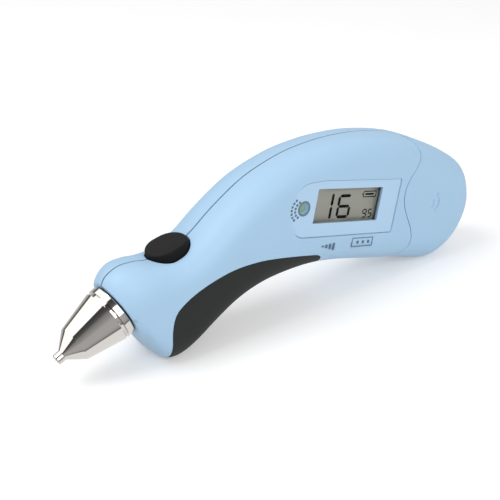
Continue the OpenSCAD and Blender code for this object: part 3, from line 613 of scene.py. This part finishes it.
mark_boxes += [(DOT_X + DOT_STEP * k, DOT_X + DOT_STEP * k + DOT_WIDE, DOT_Y, DOT_Y + DOT_WIDE)
               for k in range(3)]
marks = join([slab(box_points(*sides), MARK_LOW, MARK_TOP) for sides in mark_boxes])
settle(marks, "printed_marks", mark_ink, "pen", display_frame)

# ---- Camera, at the photograph's angle; turns in radians, lengths in millimetres ----
AROUND, ABOVE, ROLL = 0.65125, 0.44536, -0.022058
FAR, AIM = 327.87, (-10.212, 0, 21.4)
LENS, SENSOR, CLIP_START = 79.2, 36, 0.01
back = Vector((-math.sin(AROUND) * math.cos(ABOVE), -math.cos(AROUND) * math.cos(ABOVE),
               math.sin(ABOVE)))
right = Vector((math.cos(AROUND), -math.sin(AROUND), 0))
up = back.cross(right)
right, up = (math.cos(ROLL) * right + math.sin(ROLL) * up,
             math.cos(ROLL) * up - math.sin(ROLL) * right)
eye = (back * FAR + Vector(AIM)) * MM
camera_data = bpy.data.cameras.new("camera")
camera_data.lens = LENS
camera_data.sensor_width = SENSOR
camera_data.clip_start = CLIP_START
camera = bpy.data.objects.new("camera", camera_data)
bpy.context.collection.objects.link(camera)
camera.matrix_world = Matrix((
    (right.x, up.x, back.x, eye.x), (right.y, up.y, back.y, eye.y),
    (right.z, up.z, back.z, eye.z), (0, 0, 0, 1)))
bpy.context.scene.camera = camera


# ---- Floor, light and background ----
FLOOR_Z, PAPER, PAPER_GLOW = -0.02, 0.80, 0.28
SKY, BACKDROP = 0.60, 0.93
# Mirror-bright metal sees long studio panels with dark gaps, ordered round the nose's axis.
# Each stop: its share of a whole turn, and the brightness there.
PANELS = [(0.0, 0.52), (0.035, 0.53), (0.081, 0.38), (0.127, 0.27), (0.155, 0.114), (0.20, 0.064),
          (0.221, 0.064), (0.226, 1.6), (0.43, 1.6), (0.437, 0.155), (0.47, 0.155), (0.50, 0.63),
          (0.614, 0.72), (0.64, 0.78), (0.70, 0.91), (0.80, 1.02), (0.912, 1.05), (0.918, 0.24),
          (0.928, 0.24), (0.936, 0.44), (0.966, 0.53)]
PANEL_TOP = 1.6


def build_panels():
    """The brightness of the panels in a direction from the nose's axis."""
    group = bpy.data.node_groups.new("studio_panels", "ShaderNodeTree")
    group.interface.new_socket("Direction", in_out="INPUT", socket_type="NodeSocketVector")
    group.interface.new_socket("Color", in_out="OUTPUT", socket_type="NodeSocketColor")
    nodes, links = group.nodes, group.links
    entry, leave = nodes.new("NodeGroupInput"), nodes.new("NodeGroupOutput")
    tilt = math.radians(NOSE_TILT)
    turn = nodes.new("ShaderNodeMath")
    turn.operation = "ARCTAN2"
    for k, axis in enumerate(((math.sin(tilt), 0, -math.cos(tilt)), (0, 1, 0))):
        dot = nodes.new("ShaderNodeVectorMath")
        dot.operation = "DOT_PRODUCT"
        dot.inputs[1].default_value = axis
        links.new(entry.outputs["Direction"], dot.inputs[0])
        links.new(dot.outputs["Value"], turn.inputs[k])
    share = nodes.new("ShaderNodeMapRange")
    share.inputs["From Min"].default_value = -math.pi
    share.inputs["From Max"].default_value = math.pi
    links.new(turn.outputs[0], share.inputs["Value"])
    panels = nodes.new("ShaderNodeValToRGB")
    ramp = panels.color_ramp
    for k, (at, level) in enumerate(PANELS):
        stop = ramp.elements[k] if k < 2 else ramp.elements.new(at)
        stop.position = at
        stop.color = (level / PANEL_TOP, level / PANEL_TOP, level / PANEL_TOP, 1)
    links.new(share.outputs["Result"], panels.inputs["Fac"])
    links.new(panels.outputs["Color"], leave.inputs["Color"])
    return group


studio_panels = build_panels()


def paper_white():
    """White paper that carries on the same panels in reflections."""
    m = bpy.data.materials.new("paper_white")
    m.use_nodes = True
    nodes, links = m.node_tree.nodes, m.node_tree.links
    nodes.clear()
    out = nodes.new("ShaderNodeOutputMaterial")
    matte, glow = nodes.new("ShaderNodeBsdfDiffuse"), nodes.new("ShaderNodeEmission")
    both, ray = nodes.new("ShaderNodeAddShader"), nodes.new("ShaderNodeLightPath")
    matte.inputs["Color"].default_value = (PAPER, PAPER, PAPER, 1)
    level = nodes.new("ShaderNodeMath")
    level.operation = "MULTIPLY"
    level.inputs[1].default_value = PAPER_GLOW
    links.new(ray.outputs["Is Camera Ray"], level.inputs[0])
    links.new(level.outputs[0], glow.inputs["Strength"])
    links.new(matte.outputs[0], both.inputs[0])
    links.new(glow.outputs[0], both.inputs[1])
    spot = nodes.new("ShaderNodeNewGeometry")
    away = nodes.new("ShaderNodeVectorMath")
    away.operation = "SUBTRACT"
    away.inputs[1].default_value = Vector(NOSE_AT) * MM
    panels, shine = nodes.new("ShaderNodeGroup"), nodes.new("ShaderNodeEmission")
    panels.node_tree = studio_panels
    shine.inputs["Strength"].default_value = PANEL_TOP
    choose = nodes.new("ShaderNodeMixShader")
    links.new(spot.outputs["Position"], away.inputs[0])
    links.new(away.outputs[0], panels.inputs["Direction"])
    links.new(panels.outputs["Color"], shine.inputs["Color"])
    links.new(ray.outputs["Is Glossy Ray"], choose.inputs["Fac"])
    links.new(both.outputs[0], choose.inputs[1])
    links.new(shine.outputs[0], choose.inputs[2])
    links.new(choose.outputs[0], out.inputs["Surface"])
    return m


bpy.ops.mesh.primitive_plane_add(size=6, location=(0, 0, FLOOR_Z * MM))
floor = bpy.context.object
floor.name = "studio_floor"
floor.data.materials.append(paper_white())

world = bpy.data.worlds.new("studio")
bpy.context.scene.world = world
world.use_nodes = True
tree = world.node_tree
sky = tree.nodes["Background"]
sky.inputs["Color"].default_value = (1, 1, 1, 1)
sky.inputs["Strength"].default_value = SKY
# Reflections see the panels, the camera sees a plain backdrop, and all else the even sky
direction = tree.nodes.new("ShaderNodeTexCoord")
panels, gloss = tree.nodes.new("ShaderNodeGroup"), tree.nodes.new("ShaderNodeBackground")
panels.node_tree = studio_panels
gloss.inputs["Strength"].default_value = PANEL_TOP
kind, choose = tree.nodes.new("ShaderNodeLightPath"), tree.nodes.new("ShaderNodeMixShader")
blank, plain = tree.nodes.new("ShaderNodeBackground"), tree.nodes.new("ShaderNodeMixShader")
blank.inputs["Color"].default_value = (BACKDROP, BACKDROP, BACKDROP, 1)
tree.links.new(direction.outputs["Generated"], panels.inputs["Direction"])
tree.links.new(panels.outputs["Color"], gloss.inputs["Color"])
tree.links.new(kind.outputs["Is Glossy Ray"], choose.inputs["Fac"])
tree.links.new(sky.outputs[0], choose.inputs[1])
tree.links.new(gloss.outputs[0], choose.inputs[2])
tree.links.new(kind.outputs["Is Camera Ray"], plain.inputs["Fac"])
tree.links.new(choose.outputs[0], plain.inputs[1])
tree.links.new(blank.outputs[0], plain.inputs[2])
tree.links.new(plain.outputs[0], tree.nodes["World Output"].inputs["Surface"])


def lamp(name, at, size, power, aim=(0, 0, 0.02)):
    """A soft square light, in metres and watts, turned to the pen."""
    data = bpy.data.lights.new(name, "AREA")
    data.size = size
    data.energy = power
    lamp_object = bpy.data.objects.new(name, data)
    bpy.context.collection.objects.link(lamp_object)
    lamp_object.location = at
    lamp_object.rotation_euler = (Vector(aim) - Vector(at)).to_track_quat("-Z", "Y").to_euler()


lamp("key_light", (-0.45, 0.15, 0.75), 0.5, 3.4)
lamp("fill_light", (-0.1, -0.8, 0.45), 0.6, 3.0)

bpy.context.scene.view_settings.view_transform = "Standard"
